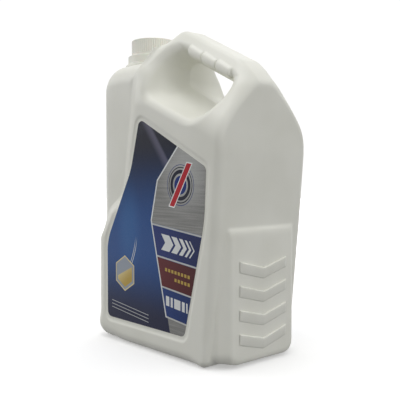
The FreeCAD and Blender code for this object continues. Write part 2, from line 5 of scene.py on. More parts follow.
import bpy
import numpy as np
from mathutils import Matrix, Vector


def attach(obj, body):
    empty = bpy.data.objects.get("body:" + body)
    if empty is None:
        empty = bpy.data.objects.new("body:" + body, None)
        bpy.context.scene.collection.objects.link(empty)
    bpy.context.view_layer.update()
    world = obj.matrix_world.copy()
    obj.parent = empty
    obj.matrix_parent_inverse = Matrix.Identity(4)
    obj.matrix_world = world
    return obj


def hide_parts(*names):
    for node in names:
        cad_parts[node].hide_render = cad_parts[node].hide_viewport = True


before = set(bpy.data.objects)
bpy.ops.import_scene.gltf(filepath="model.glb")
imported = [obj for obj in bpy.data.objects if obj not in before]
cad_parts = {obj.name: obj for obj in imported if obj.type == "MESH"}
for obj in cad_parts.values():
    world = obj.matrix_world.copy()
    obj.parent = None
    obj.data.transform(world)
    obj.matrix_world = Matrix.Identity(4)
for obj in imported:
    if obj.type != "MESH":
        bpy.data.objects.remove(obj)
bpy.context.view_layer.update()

# Sizes of the body, in millimetres
MM = 0.001
HALF_LENGTH = 98.0
HALF_THICKNESS = 58.0
HALF_COLUMN = 51.0
BAR_ANGLE = radians(26.5)
SLOPE = tan(BAR_ANGLE)
SLOPE_COS = cos(BAR_ANGLE)
SHOULDER = 285.5
BAR_TOP = 315.3
LEG_FOOT = -30.0
LEG_TAN = tan(radians(57.0))
LEDGE = 123.5
WAIST = 92.5
SLAB_FOOT = 80.0
BELLY = 190.0
PAD_FACE = 96.0
PAD_HALF = 39.8
OPEN_TOP = 420.0
NECK_X = -67.0
SLAB_EDGE = 14.0
LOW_COLUMN_SOFTER = 6.0
END_SHARPER = 7.0
HEEL_SHARPER = 0.25
LEG_SLIMMER = 4.0
PANEL_DEPTH = 1.0
PANEL_RIM_OUTER = 5.8
PANEL_RIM_INNER = 3.0
ARCH_SKIN = 12.0
ARCH_REACH = 74.0
CREASE_DEPTH = 8.0
CREASE_EDGE = 8.0
COLUMN_REAR = -19.0
COLUMN_EDGE = 22.0
COLUMN_HOLLOW = 4.0
GAP_RIM = 6.5
GAP_FLARE_REACH = HALF_THICKNESS + 4.0
GAP_FLARE_LIMIT = 1.3
GAP_FLARE_POWER = 0.95
GAP_SLOPE = 1.05
PAD_EDGE = 1.5
PAD_HEEL = 8.0
PAD_CORNER_HEEL = 7.0
PAD_HOLLOW = 0.8
WALL = 1.4
OIL_GAP = 0.3
OIL_LEVEL = 259.5
OIL_EDGE = 0.5

# Finger grips, measured along the bar, across it and down from its top
GRIP_STARTS = (21.0, 42.5, 64.0)
GRIP_LENGTH = 19.0
GRIP_TAPER_LENGTH = 18.0
GRIP_TAPER = 1.1
GRIP_ACROSS = 19.5
GRIP_DEPTH = 13.3
GRIP_RADIUS = 5.7
GRIP_EDGE = 1.0
GRIP_HOLLOW = 0.8

# Bars of the grip pad
PAD_BARS = 4
PAD_BAR_TOP = 95.0
PAD_BAR_STEP = 21.5
PAD_BAR_HALF = 30.7
PAD_BAR_DIP = 8.0
PAD_BAR_RUN = 2.4
PAD_BAR_SECTION = [
    (-0.6, 0.15),
    (0.0, 0.0),
    (0.75, -0.05),
    (1.15, -0.35),
    (1.25, -0.9),
    (1.15, -2.6),
    (0.85, -5.0),
    (0.5, -7.2),
    (0.2, -8.8),
    (0.0, -9.6),
    (-0.6, -10.2),
]

# Neck, cap and band
NECK_RADIUS = 19.4
NECK_BORE = 17.2
NECK_RIM = 312.2
NECK_THREAD = 301.7
CAP_LOW = 298.8
CAP_HIGH = 315.7
CAP_BORE = 21.6
CAP_THREAD = 303.95
CAP_RIBS = 60
RIB_DEPTH = 0.40
THREAD_PITCH = 4.5
THREAD_TURNS = 1.5

# Sizes of the mesh
FIELD_STEP = 0.5
GRID_STEP = 1.7
OIL_STEP = 3.0
NORMAL_STEP = 0.8

# Sizes of the label, drawn in X and Z
LABEL_TOP = 226.0
LABEL_RIGHT = 80.5
LABEL = [
    (-16, LABEL_TOP, 6),
    (-30, 176, 73),
    (-72, 103, 44),
    (-72, 24, 6),
    (51, 24, 6),
    (78, 130, 146),
    (LABEL_RIGHT, LABEL_TOP - SLOPE * (LABEL_RIGHT + 16.0), 6),
]
LABEL_FACE = 57.0
LABEL_FILM = 0.25
LABEL_ARC_STEP = 1.5


def bar_line(x, depth=0.0):
    """Height at x of the line that lies depth below the top of the handle bar."""
    return BAR_TOP - SLOPE * x - depth


# Outlines and their distances
def rounded_polygon(corners, arc_step=1.0):
    """Points of a closed outline whose corners (u, v, radius) are rounded."""
    points = []
    for index, (u, v, radius) in enumerate(corners):
        corner = np.array([u, v], float)
        back = np.array(corners[index - 1][:2], float) - corner
        ahead = np.array(corners[(index + 1) % len(corners)][:2], float) - corner
        back = back / np.linalg.norm(back)
        ahead = ahead / np.linalg.norm(ahead)
        angle = np.arccos(np.clip(back @ ahead, -1, 1))
        if radius == 0 or pi - angle < 1e-3:
            points.append(corner)
            continue
        run = radius / tan(angle / 2)
        start, end = corner + back * run, corner + ahead * run
        bisector = (back + ahead) / np.linalg.norm(back + ahead)
        centre = corner + bisector * radius / sin(angle / 2)
        first = atan2(start[1] - centre[1], start[0] - centre[0])
        last = atan2(end[1] - centre[1], end[0] - centre[0])
        sweep = (last - first + pi) % (2 * pi) - pi
        count = max(2, int(abs(sweep) * radius / arc_step) + 1)
        for k in range(count + 1):
            turn = first + sweep * k / count
            points.append(centre + radius * np.array([cos(turn), sin(turn)]))
    return np.array(points)


def outline_distance(points, u, v):
    """Signed distance from the grid points (u, v) to a closed outline, negative inside."""
    nearest = np.full(u.shape, 1e12)
    inside = np.zeros(u.shape, bool)
    for (u0, v0), (u1, v1) in zip(points, np.roll(points, -1, axis=0)):
        du, dv = u1 - u0, v1 - v0
        length = du * du + dv * dv
        if length < 1e-12:
            continue
        along = np.clip(((u - u0) * du + (v - v0) * dv) / length, 0, 1)
        nearest = np.minimum(nearest, (u - u0 - along * du) ** 2 + (v - v0 - along * dv) ** 2)
        if dv:
            crossing = (v0 <= v) != (v1 <= v)
            inside ^= crossing & (u < u0 + (v - v0) * du / dv)
    distance = np.sqrt(nearest)
    return np.where(inside, -distance, distance)


class Outline:
    """A rounded outline's distance, kept on a fine grid and read between its points."""

    def __init__(self, corners, low, high):
        self.low = low
        self.counts = [int((b - a) / FIELD_STEP) + 2 for a, b in zip(low, high)]
        axes = [a + FIELD_STEP * np.arange(n) for a, n in zip(low, self.counts)]
        u, v = np.meshgrid(*axes, indexing="ij")
        self.grid = outline_distance(rounded_polygon(corners), u, v)

    def __call__(self, u, v):
        a = np.clip((u - self.low[0]) / FIELD_STEP, 0, self.counts[0] - 1.001)
        b = np.clip((v - self.low[1]) / FIELD_STEP, 0, self.counts[1] - 1.001)
        i, j = a.astype(int), b.astype(int)
        a, b = a - i, b - j
        grid = self.grid
        near = grid[i, j] * (1 - a) + grid[i + 1, j] * a
        far = grid[i, j + 1] * (1 - a) + grid[i + 1, j + 1] * a
        return near * (1 - b) + far * b


def common(first, second, radius):
    """What lies in both forms, with the edge between them rounded to a radius."""
    a, b = first + radius, second + radius
    return np.hypot(np.maximum(a, 0), np.maximum(b, 0)) - radius + np.minimum(np.maximum(a, b), 0)


def joined(first, second, radius):
    """What lies in either form, with the hollow between them filled to a radius."""
    return -common(-first, -second, radius)


def ease(value, start, end):
    """0 before start, 1 after end, and a smooth rise between."""
    t = np.clip((value - start) / (end - start), 0, 1)
    return t * t * (3 - 2 * t)


def gap_corners(front, rear, down, up, radius, heel):
    """The handle gap, parallel to the bar and pushed outwards on each side by the given flares; heel is
    the rounding of its lowest corner."""
    left = LEG_FOOT + 23.4
    right = left + 84.0
    roof, floor, lean = 28.0, 58.0, 20.0
    return [
        (left - front * 0.3, bar_line(left, floor) - down, radius),
        (right - lean + 0.35 * rear, bar_line(right - lean, floor) - down, heel),
        (right + 1.6 * rear, bar_line(right + 1.6 * rear, roof) + up, radius),
        (left - front, bar_line(left - front, roof) + up, radius),
    ]


# Outlines of the body: corners (u, v, rounding), then the least and greatest u and v of their grid
FRONT = ((-115, -15), (115, 345))
SIDE = Outline([
    (-HALF_LENGTH, 0, 18),
    (SLAB_FOOT, 0, 9),
    (WAIST, LEDGE, 40),
    (HALF_LENGTH, BELLY, 90),
    (HALF_LENGTH, 254, 24),
    (89, 275, 0),
    (89, OPEN_TOP, 0),
    (LEG_FOOT + (OPEN_TOP - SHOULDER) / LEG_TAN, OPEN_TOP, 0),
    (LEG_FOOT, SHOULDER, 8),
    (-HALF_LENGTH, SHOULDER, 28),
], *FRONT)
ARCH = Outline([
    (-HALF_THICKNESS, -520, 0),
    (HALF_THICKNESS, -520, 0),
    (HALF_THICKNESS, -50.5, 32),
    (13, 0, 9),
    (-13, 0, 9),
    (-HALF_THICKNESS, -50.5, 32),
], (-1, -420), (75, 60))
GAP_MIDDLE = Outline(gap_corners(0, 0, 0, 0, 12, 14), *FRONT)
GAP_MOUTH = Outline(gap_corners(11, 24, 14, 35, 14, 30), *FRONT)
PANEL = Outline(LABEL, *FRONT)
CREASE = Outline([
    (-138, 110, 0),
    (-84, 110, 16),
    (-66, 135, 16),
    (-42, 150, 22),
    (-28, 238, 81),
    (-16, 357, 0),
    (-138, 357, 0),
], *FRONT)
PAD_PLAN = Outline([
    (50, -48, 0),
    (72.5, -55.5, 1),
    (87.1, -48.7, 4),
    (PAD_FACE, -PAD_HALF, 4),
    (PAD_FACE, PAD_HALF, 4),
    (87.1, 48.7, 4),
    (72.5, 55.5, 1),
    (50, 48, 0),
], (-60, -1), (115, 75))
PAD_SIDE = Outline([
    (20, 0, 0),
    (PAD_FACE, 0, 4),
    (PAD_FACE, LEDGE - 3, 14),
    (PAD_FACE - 9, LEDGE + 8, 0),
    (20, LEDGE + 8, 0),
], (-60, -15), (115, 160))


# The body
def edge_radius(x, z):
    """Rounding of the slab's edges: softer low on the column's side, sharper at the end and the heel."""
    low_column = ease(x, -40, -80) * ease(z, 150, 110)
    end = ease(x, 55, 80) * ease(z, 262, 225)
    heel = ease(z, 30, 10)
    return (SLAB_EDGE + LOW_COLUMN_SOFTER * low_column - END_SHARPER * end) * (1 - HEEL_SHARPER * heel)


def finger_grips(x, across, down):
    """Three grips under each side of the bar, proud at the neck's side and flush at the other."""
    along = x / SLOPE_COS
    grips = 1e3
    for start in GRIP_STARTS:
        taper = GRIP_TAPER * np.clip((along - start) / GRIP_TAPER_LENGTH, 0, 1)
        tube = np.hypot(across - GRIP_ACROSS, down + GRIP_DEPTH) - GRIP_RADIUS + taper
        ends = np.maximum(start - along, along - start - GRIP_LENGTH)
        grips = np.minimum(grips, common(tube, ends, GRIP_EDGE))
    return grips


def slab_field(x, across, z, side, down):
    """The slab that carries the handle, the label panels and the end, without the column and the gap."""
    slimmer = LEG_SLIMMER * ease(x, 20, -20) * ease(z, 238, 268) * ease(z, 300, 275)
    arch = ARCH(np.clip(across + slimmer, 0, ARCH_REACH), down)
    recess = PANEL_DEPTH * ease(PANEL(x, z), PANEL_RIM_OUTER, PANEL_RIM_INNER)
    arch = arch + recess * (arch > -ARCH_SKIN)
    slab = common(side, arch, edge_radius(x, z))
    inward = CREASE_DEPTH * np.clip((HALF_THICKNESS - across) / (HALF_THICKNESS - HALF_COLUMN), 0, 1)
    return common(slab, -CREASE(x + inward, z), CREASE_EDGE)


def body_field(x, y, z):
    """Signed distance, roughly, to the blown body: negative in the plastic's outline."""
    across = np.abs(y)
    side = SIDE(x, z)
    down = (z - bar_line(x)) * SLOPE_COS
    slab = slab_field(x, across, z, side, down)
    column = common(np.maximum(side, x - COLUMN_REAR), across - HALF_COLUMN, COLUMN_EDGE)
    body = joined(slab, column, COLUMN_HOLLOW)
    flare = np.clip(across / GAP_FLARE_REACH, 0, GAP_FLARE_LIMIT) ** GAP_FLARE_POWER
    gap = (GAP_MIDDLE(x, z) * (1 - flare) + GAP_MOUTH(x, z) * flare) / GAP_SLOPE
    body = common(body, -gap, GAP_RIM)
    body = joined(body, finger_grips(x, across, down), GRIP_HOLLOW)
    pad = common(PAD_PLAN(x, across), PAD_SIDE(x, z), PAD_EDGE)
    pad = common(pad, -z, PAD_HEEL + PAD_CORNER_HEEL * ease(across, 30, 44))
    return joined(body, pad, PAD_HOLLOW)


# Meshes from a field
def corner_slices(axis):
    """The two ends of every grid edge along an axis, as slices of the grid."""
    low, high = [slice(None)] * 3, [slice(None)] * 3
    low[axis], high[axis] = slice(0, -1), slice(1, None)
    return tuple(low), tuple(high)


def net(field, axes):
    """Vertices and quads of the surface where a sampled field is zero."""
    cells = tuple(n - 1 for n in field.shape)
    total, count = np.zeros(cells + (3,)), np.zeros(cells)
    for axis in range(3):
        low, high = corner_slices(axis)
        a, b = field[low], field[high]
        index = np.array(np.nonzero((a < 0) != (b < 0)))
        part = a[tuple(index)] / (a[tuple(index)] - b[tuple(index)])
        points = np.stack([axes[k][index[k]] for k in range(3)], 1)
        points[:, axis] += part * (axes[axis][1] - axes[axis][0])
        u, v = [k for k in range(3) if k != axis]
        for shift_u in (0, -1):
            for shift_v in (0, -1):
                cell = index.copy()
                cell[u] += shift_u
                cell[v] += shift_v
                good = np.all((cell >= 0) & (cell < np.array(cells)[:, None]), axis=0)
                np.add.at(total, tuple(cell[:, good]), points[good])
                np.add.at(count, tuple(cell[:, good]), 1)
    used = count > 0
    number = np.full(cells, -1)
    number[used] = np.arange(used.sum())
    quads = []
    for axis in range(3):
        low, high = corner_slices(axis)
        index = np.array(np.nonzero((field[low] < 0) != (field[high] < 0)))
        u, v = (axis + 1) % 3, (axis + 2) % 3
        good = (index[u] > 0) & (index[v] > 0) & (index[u] < cells[u]) & (index[v] < cells[v])
        index = index[:, good]
        ring = []
        for shift_u, shift_v in ((-1, -1), (0, -1), (0, 0), (-1, 0)):
            cell = index.copy()
            cell[u] += shift_u
            cell[v] += shift_v
            ring.append(number[tuple(cell)])
        faces = np.stack(ring, 1)
        outward = field[low][tuple(index)] < 0
        faces[~outward] = faces[~outward][:, ::-1]
        quads.append(faces)
    return total[used] / count[used][:, None], np.concatenate(quads)


def slope(function, points, step):
    """The field's slope at the points."""
    result = np.zeros_like(points)
    for axis in range(3):
        shift = np.zeros(3)
        shift[axis] = step
        result[:, axis] = function(*(points + shift).T) - function(*(points - shift).T)
    return result / (2 * step)


def settled(function, points, rounds=3, reach=1.0):
    """The points moved onto the field's zero surface."""
    for _ in range(rounds):
        gradient = slope(function, points, 0.05)
        square = np.maximum((gradient ** 2).sum(1), 0.05)
        move = (function(*points.T) / square)[:, None] * gradient
        length = np.linalg.norm(move, axis=1, keepdims=True)
        points = points - move * np.minimum(1, reach / np.maximum(length, 1e-9))
    return points


def oil_field(x, y, z):
    """The oil: just inside the wall, up to its level."""
    return common(body_field(x, y, z) + WALL + OIL_GAP, z - OIL_LEVEL, OIL_EDGE)


def surface_of(function, step):
    """A form that is the same on both faces of the bottle: vertices, quads and smooth normals."""
    axes = [np.arange(-102, 102 + step, step), np.arange(0, 64, step), np.arange(-4, 324 + step, step)]
    half = function(*np.meshgrid(*axes, indexing="ij"))
    whole = np.concatenate([half[:, ::-1][:, :-1], half], axis=1)
    axes[1] = np.concatenate([-axes[1][::-1][:-1], axes[1]])
    points, quads = net(whole, axes)
    points = settled(function, points)
    limit = np.array([HALF_LENGTH, HALF_THICKNESS, OPEN_TOP])
    points = np.clip(points, -limit * (1, 1, 0), limit)
    normals = slope(function, points, NORMAL_STEP)
    return points, quads, normals / np.linalg.norm(normals, axis=1, keepdims=True)


# Meshes from rows of points
def sheet_of(rows, closed=True):
    """Vertices, quads and smooth normals of a grid of points; closed joins its last column to the
    first."""
    rows = np.array(rows, float)
    count, width = rows.shape[:2]
    number = np.arange(count * width).reshape(count, width)
    if closed:
        number = np.concatenate([number, number[:, :1]], axis=1)
    ring = [number[:-1, :-1], number[:-1, 1:], number[1:, 1:], number[1:, :-1]]
    quads = np.stack(ring, -1).reshape(-1, 4)
    points = rows.reshape(-1, 3)
    corners = points[quads]
    face = np.cross(corners[:, 2] - corners[:, 0], corners[:, 3] - corners[:, 1])
    normals = np.zeros_like(points)
    for k in range(4):
        np.add.at(normals, quads[:, k], face)
    length = np.linalg.norm(normals, axis=1, keepdims=True)
    return points, quads, normals / np.maximum(length, 1e-12)


def arc(cx, cz, radius, first, last, count=5):
    """Points of a profile's rounded edge, angles in degrees from the outward direction."""
    turns = np.radians(np.linspace(first, last, count))
    return [(cx + radius * cos(t), cz + radius * sin(t)) for t in turns]


def turned(runs, columns, relief=None):
    """Turned surfaces on the neck's axis, one for each run of (radius, height); relief(angle, height)
    is taken off the radius."""
    angles = 2 * pi * np.arange(columns) / columns
    surfaces = []
    for run in runs:
        rows = []
        for radius, height in run:
            off = relief(angles, height) if relief else 0.0
            r = np.maximum(radius - off, 0)
            rows.append(np.stack([NECK_X + r * np.cos(angles), r * np.sin(angles),
                                  np.full(columns, height)], 1))
        surfaces.append(sheet_of(rows))
    return surfaces


def add_mesh(name, surfaces, material, body, replaced):
    """One object of several surfaces, each (points, quads, normals), that replaces a node of the
    frame."""
    points = np.concatenate([s[0] for s in surfaces])
    normals = np.concatenate([s[2] for s in surfaces])
    quads, first = [], 0
    for surface in surfaces:
        quads.append(surface[1] + first)
        first += len(surface[0])
    mesh = bpy.data.meshes.new(name)
    mesh.from_pydata((points * MM).tolist(), [], np.concatenate(quads).tolist())
    mesh.update()
    mesh.polygons.foreach_set("use_smooth", [True] * len(mesh.polygons))
    mesh.normals_split_custom_set_from_vertices(normals.tolist())
    mesh.materials.append(material)
    piece = bpy.data.objects.new(name, mesh)
    bpy.context.scene.collection.objects.link(piece)
    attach(piece, body)
    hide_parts(replaced)
    return piece


# Shaders
class Shader:
    """A material whose nodes are made by plain calls."""

    def __init__(self, name):
        self.material = bpy.data.materials.new(name)
        self.material.use_nodes = True
        self.tree = self.material.node_tree
        self.surface = self.tree.nodes["Principled BSDF"]

    def node(self, kind, **inputs):
        """A node with its inputs set or linked; a name's underscores stand for spaces."""
        made = self.tree.nodes.new(kind)
        for name, value in inputs.items():
            self.put(made, name.replace("_", " "), value)
        return made

    def put(self, node, name, value):
        """Sets or links one input of a node."""
        socket = node.inputs[name]
        if isinstance(value, bpy.types.NodeSocket):
            self.tree.links.new(value, socket)
        else:
            socket.default_value = value

    def set(self, **inputs):
        """Sets or links inputs of the surface."""
        for name, value in inputs.items():
            self.put(self.surface, name.replace("_", " "), value)

    def math(self, operation, *values):
        """The result of a math node."""
        made = self.tree.nodes.new("ShaderNodeMath")
        made.operation = operation
        for index, value in enumerate(values):
            self.put(made, index, value)
        return made.outputs[0]

    def blend(self, amount, first, second):
        """A mix of two colours."""
        made = self.tree.nodes.new("ShaderNodeMix")
        made.data_type = "RGBA"
        sockets = [s for s in made.inputs if s.type == "RGBA"]
        for socket, value in ((made.inputs[0], amount), (sockets[0], first), (sockets[1], second)):
            if isinstance(value, bpy.types.NodeSocket):
                self.tree.links.new(value, socket)
            else:
                socket.default_value = value if isinstance(value, float) else (*value, 1)
        return [s for s in made.outputs if s.type == "RGBA"][0]

    def ramp(self, value, low, high, first=0.0, last=1.0):
        """value between low and high carried smoothly to first and last."""
        made = self.node("ShaderNodeMapRange", Value=value)
        made.interpolation_type = "SMOOTHSTEP"
        for name, number in (("From Min", low), ("From Max", high), ("To Min", first), ("To Max", last)):
            made.inputs[name].default_value = number
        return made.outputs[0]

    def place(self):
        """The shaded point in millimetres, in the object's frame."""
        where = self.tree.nodes.new("ShaderNodeTexCoord").outputs["Object"]
        large = self.tree.nodes.new("ShaderNodeVectorMath")
        large.operation = "SCALE"
        self.tree.links.new(where, large.inputs[0])
        large.inputs["Scale"].default_value = 1 / MM
        return large.outputs[0]

    def axes(self, where):
        """X, Y and Z of a point."""
        return self.node("ShaderNodeSeparateXYZ", Vector=where).outputs

    def noise(self, where, scale, detail=3.0):
        """Noise between 0 and 1; scale is in cycles per millimetre."""
        made = self.node("ShaderNodeTexNoise", Vector=where, Scale=scale, Detail=detail)
        return made.outputs["Fac"]

    def bump(self, height, strength, distance):
        """A bump from a height, its distance in millimetres."""
        made = self.node("ShaderNodeBump", Height=height, Strength=strength, Distance=distance * MM)
        return made.outputs[0]


def blown_plastic():
    """Off-white blown polyethylene: satin, faintly mottled, with the mould's parting line."""
    s = Shader("bottle_plastic")
    where = s.place()
    across = s.axes(where)[1]
    cloud = s.noise(where, 0.02, 2.0)
    grain = s.noise(where, 1.6, 4.0)
    ripple = s.noise(where, 0.09, 2.0)
    seam = s.ramp(s.math("ABSOLUTE", across), 0.12, 0.45, 1.0, 0.0)
    tint = s.blend(s.ramp(cloud, 0.3, 0.7), (0.79, 0.79, 0.715), (0.835, 0.835, 0.765))
    tint = s.blend(s.math("MULTIPLY", seam, 0.06), tint, (0.62, 0.62, 0.55))
    height = s.math("MULTIPLY_ADD", seam, 0.15, s.math("MULTIPLY", grain, 0.10))
    height = s.math("MULTIPLY_ADD", ripple, 0.5, height)
    s.set(Base_Color=tint, Roughness=s.ramp(grain, 0.3, 0.7, 0.36, 0.46),
          Normal=s.bump(height, 0.35, 0.35), IOR=1.5)
    s.surface.inputs["Subsurface Weight"].default_value = 0.06
    s.surface.inputs["Subsurface Radius"].default_value = (1.0, 0.95, 0.8)
    s.surface.inputs["Subsurface Scale"].default_value = 0.003
    return s.material


def moulded_plastic(name):
    """Warm off-white moulded plastic of the closure."""
    s = Shader(name)
    where = s.place()
    grain = s.noise(where, 2.2, 4.0)
    cloud = s.noise(where, 0.06, 2.0)
    tint = s.blend(s.ramp(cloud, 0.3, 0.7), (0.83, 0.825, 0.745), (0.87, 0.865, 0.785))
    s.set(Base_Color=tint, Roughness=s.ramp(grain, 0.3, 0.7, 0.32, 0.44),
          Normal=s.bump(grain, 0.15, 0.08), IOR=1.5)
    s.surface.inputs["Subsurface Weight"].default_value = 0.08
    s.surface.inputs["Subsurface Scale"].default_value = 0.002
    return s.material


# Colours of the print
NAVY = (0.010, 0.013, 0.045)
INK = (0.014, 0.016, 0.030)
BLUE = (0.016, 0.075, 0.26)
GLOW_BLUE = (0.05, 0.19, 0.46)
ROYAL = (0.013, 0.030, 0.16)
DEEP_BLUE = (0.014, 0.045, 0.20)
# Violet of the painted sheen, a highlight streak on the print
PAINTED_SHEEN_VIOLET = (0.30, 0.29, 0.42)
SLATE = (0.34, 0.38, 0.44)
RED = (0.115, 0.012, 0.016)
BRIGHT_RED = (0.42, 0.02, 0.03)
GOLD = (0.52, 0.36, 0.08)
PALE_GOLD = (0.80, 0.68, 0.36)
STEEL = (0.17, 0.17, 0.165)
BRIGHT_STEEL = (0.27, 0.27, 0.26)
PALE_SILVER = (0.56, 0.57, 0.56)
WHITE = (0.78, 0.80, 0.80)

# Places of the print, in millimetres and degrees; heights are those at x = 0 on lines that fall by TILT
PRINT_BLUR = 0.12
TILT = -6.0
KNEE = (3.0, 128.0)
UPPER_KNEE = (12.5, 166.0)
SILVER_FOOT = 126.0
BANDS = ((97.0, 124.0, ROYAL), (69.0, 95.0, RED), (42.0, 67.5, DEEP_BLUE))
WEDGE_TOP = 40.5
BAND_RULES = (125.0, 96.0, 68.2, 41.2)
RING_CENTRE = (46.0, 162.0)
RINGS = ((-1.0, 8.5, ROYAL), (10.5, 14.0, INK), (15.6, 16.6, INK), (18.2, 18.8, ROYAL))
ARROW_HEIGHT = 110.5
ARROWS = ((24.0, 12.0), (39.0, 8.0), (50.0, 5.0), (58.0, 3.0), (64.0, 1.6))
DOT_STEP = 4.6
DOT_ROWS = ((85.5, 22.6, 59.0), (78.5, 36.4, 59.0))
BLOCK_HEIGHT = 56.5
BLOCKS = ((25.0, 5.0), (32.0, 3.0), (37.0, 9.0), (48.0, 4.0), (54.0, 2.0))
ARC_CENTRE = (-96.0, 120.0)
ARC_RADII = (74.0, 76.4)
HAIRLINES = (41.5, 38.0, 34.5)
SIGN = (-41.0, 72.0)
SIGN_WIDTH = 15.6
SIGN_RIM = 14.5
SIGN_FILL = 12.0


class Print(Shader):
    """A flat print, painted layer on layer in X and Z."""

    def __init__(self, name):
        super().__init__(name)
        self.where = self.place()
        self.x, _, self.z = self.axes(self.where)
        self.colour = None

    def paint(self, mask, colour, amount=1.0):
        """Puts a colour on the print, as far as the mask and the amount say."""
        if amount < 1.0:
            mask = self.math("MULTIPLY", mask, amount)
        self.colour = self.blend(mask, self.colour, colour)

    def line(self, px, pz, degrees):
        """Distance above a line through (px, pz) that rises by degrees."""
        nx, nz = -sin(radians(degrees)), cos(radians(degrees))
        sloped = self.math("MULTIPLY_ADD", self.x, nx, self.math("MULTIPLY", self.z, nz))
        return self.math("SUBTRACT", sloped, px * nx + pz * nz)

    def level(self, height):
        """Distance above the falling line that meets x = 0 at a height."""
        return self.line(0.0, height, TILT)

    def round_from(self, cx, cz, stretch=1.0):
        """Distance from a centre, with heights divided by stretch."""
        u = self.math("SUBTRACT", self.x, cx)
        v = self.math("DIVIDE", self.math("SUBTRACT", self.z, cz), stretch)
        return self.math("SQRT", self.math("MULTIPLY_ADD", u, u, self.math("MULTIPLY", v, v)))

    def above(self, distance, limit=0.0):
        """1 where a distance is over the limit."""
        return self.ramp(distance, limit - PRINT_BLUR, limit + PRINT_BLUR)

    def below(self, distance, limit=0.0):
        """1 where a distance is under the limit."""
        return self.ramp(distance, limit - PRINT_BLUR, limit + PRINT_BLUR, 1.0, 0.0)

    def between(self, distance, low, high):
        """1 where a distance lies between two limits."""
        return self.both(self.above(distance, low), self.below(distance, high))

    def both(self, *masks):
        """Where all masks are 1."""
        result = masks[0]
        for mask in masks[1:]:
            result = self.math("MULTIPLY", result, mask)
        return result

    def largest(self, *values):
        """The largest of some values."""
        result = values[0]
        for value in values[1:]:
            result = self.math("MAXIMUM", result, value)
        return result


def brushed_steel(s):
    """Colour of the silver: fine level streaks, brightest round the rings."""
    squeeze = s.tree.nodes.new("ShaderNodeVectorMath")
    squeeze.operation = "MULTIPLY"
    s.tree.links.new(s.where, squeeze.inputs[0])
    squeeze.inputs[1].default_value = (0.02, 0.02, 0.8)
    streak = s.noise(squeeze.outputs[0], 1.0)
    steel = s.blend(s.ramp(streak, 0.25, 0.75), STEEL, BRIGHT_STEEL)
    shine = s.ramp(s.round_from(52.0, 176.0, 1.1), 46.0, 6.0, 0.0, 0.5)
    return s.blend(shine, steel, PALE_SILVER)


def print_field(s):
    """The field: dark at the top with one painted sheen, a violet highlight streak, bright blue at the
    waist, dark at the foot.
    """
    s.colour = s.blend(s.ramp(s.z, 205.0, 120.0), INK, BLUE)
    s.paint(s.ramp(s.z, 95.0, 30.0), NAVY)
    s.paint(s.ramp(s.round_from(-34.0, 118.0, 2.2), 26.0, 4.0), GLOW_BLUE, 0.35)
    # Painted sheen: a violet highlight streak laid across the dark top of the print
    streak = s.line(-2.0, 205.0, -52.0)
    s.paint(s.both(s.ramp(streak, 0.0, 9.0), s.ramp(streak, 13.0, 9.5)), PAINTED_SHEEN_VIOLET, 0.35)


def print_bands(s):
    """The silver, three bands and a silver wedge, right of a hem with two knees; gives the silver."""
    edge = s.largest(s.line(*KNEE, 76.0), s.line(*KNEE, 104.0), s.line(*UPPER_KNEE, 46.0))
    right = s.math("MULTIPLY", edge, -1.0)
    steel = brushed_steel(s)
    silver = s.both(s.above(right), s.above(s.level(SILVER_FOOT)))
    s.paint(silver, steel)
    for low, high, colour in BANDS:
        strip = s.both(s.above(right), s.above(s.level(low)), s.below(s.level(high)))
        dark = tuple(0.55 * part for part in colour)
        s.paint(strip, s.blend(s.ramp(s.x, 5.0, 78.0), colour, dark))
    wedge = s.both(s.above(right, 2.0), s.below(s.level(WEDGE_TOP)), s.above(s.line(14.0, 24.0, -62.0)))
    s.paint(wedge, steel)
    for height in BAND_RULES:
        s.paint(s.both(s.above(right, -0.5), s.between(s.level(height), -0.75, 0.75)), PALE_SILVER)
    s.paint(s.both(s.between(right, -1.0, 0.6), s.above(s.level(WEDGE_TOP))), WHITE)
    return right, s.math("MAXIMUM", silver, wedge)


def print_rings(s):
    """Rings on the silver, with a red bar across them."""
    centre = s.round_from(*RING_CENTRE)
    for low, high, colour in RINGS:
        s.paint(s.between(centre, low, high), colour)
    slash = s.line(*RING_CENTRE, 58.0)
    length = s.line(*RING_CENTRE, -8.0)
    s.paint(s.both(s.between(slash, -3.9, 3.9), s.between(length, -22.0, 22.0)), WHITE)
    s.paint(s.both(s.between(slash, -3.0, 3.0), s.between(length, -21.0, 21.0)), BRIGHT_RED)


def print_motifs(s):
    """White arrow heads on the first band, gold dots on the second, white blocks on the third."""
    middle = s.level(ARROW_HEIGHT)
    arrow = s.math("MULTIPLY_ADD", s.math("ABSOLUTE", middle), 0.8, s.x)
    for start, width in ARROWS:
        s.paint(s.both(s.between(arrow, start, start + width), s.between(middle, -7.5, 7.5)), WHITE)
    cell = s.math("SUBTRACT", s.math("FRACT", s.math("DIVIDE", s.x, DOT_STEP)), 0.5)
    dots = s.between(cell, -0.32, 0.32)
    for height, first, last in DOT_ROWS:
        s.paint(s.both(s.between(s.level(height), -1.5, 1.5), dots, s.between(s.x, first, last)), GOLD)
    row = s.between(s.level(BLOCK_HEIGHT), -4.5, 4.5)
    for start, width in BLOCKS:
        s.paint(s.both(row, s.between(s.x, start, start + width)), WHITE)


def print_rules(s, right):
    """Fine pale rules: arcs on the blue and a few hairlines at the foot."""
    distance = s.round_from(*ARC_CENTRE)
    for radius in ARC_RADII:
        s.paint(s.both(s.between(distance, radius - 0.35, radius + 0.35), s.ramp(s.z, 112.0, 96.0),
                       s.between(right, -60.0, -1.0)), WHITE)
    for height in HAIRLINES:
        s.paint(s.both(s.between(s.line(-60.0, height, TILT), -0.3, 0.3), s.between(s.x, -64.0, -2.0)),
                WHITE, 0.7)


